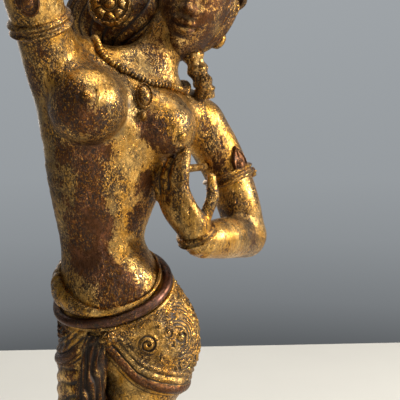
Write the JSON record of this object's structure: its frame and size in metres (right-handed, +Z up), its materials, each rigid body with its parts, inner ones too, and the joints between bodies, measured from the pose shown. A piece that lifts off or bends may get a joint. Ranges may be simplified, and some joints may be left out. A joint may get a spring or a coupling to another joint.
{
  "type": "dancing goddess figure",
  "caption": "Small cast metal figure of a dancing goddess, one arm raised over her tilted head, on a round lotus base; stands as an ornament.",
  "frame": {"origin": "middle of the lotus base's flat underside", "axes": "+Z up, -Y the way the chest faces, +X her left hand side"},
  "size_m": [0.1082, 0.0774, 0.3263],
  "materials": {
    "gilt_copper": "worn fire gilding over copper, rubbed bright on the heights and brown in the recesses",
    "base_copper": "worn fire gilding over copper, browner than the figure"
  },
  "bodies": {
    "root": {"goddess_figure": "gilt_copper", "lotus_base": "base_copper"}
  },
  "joints": []
}
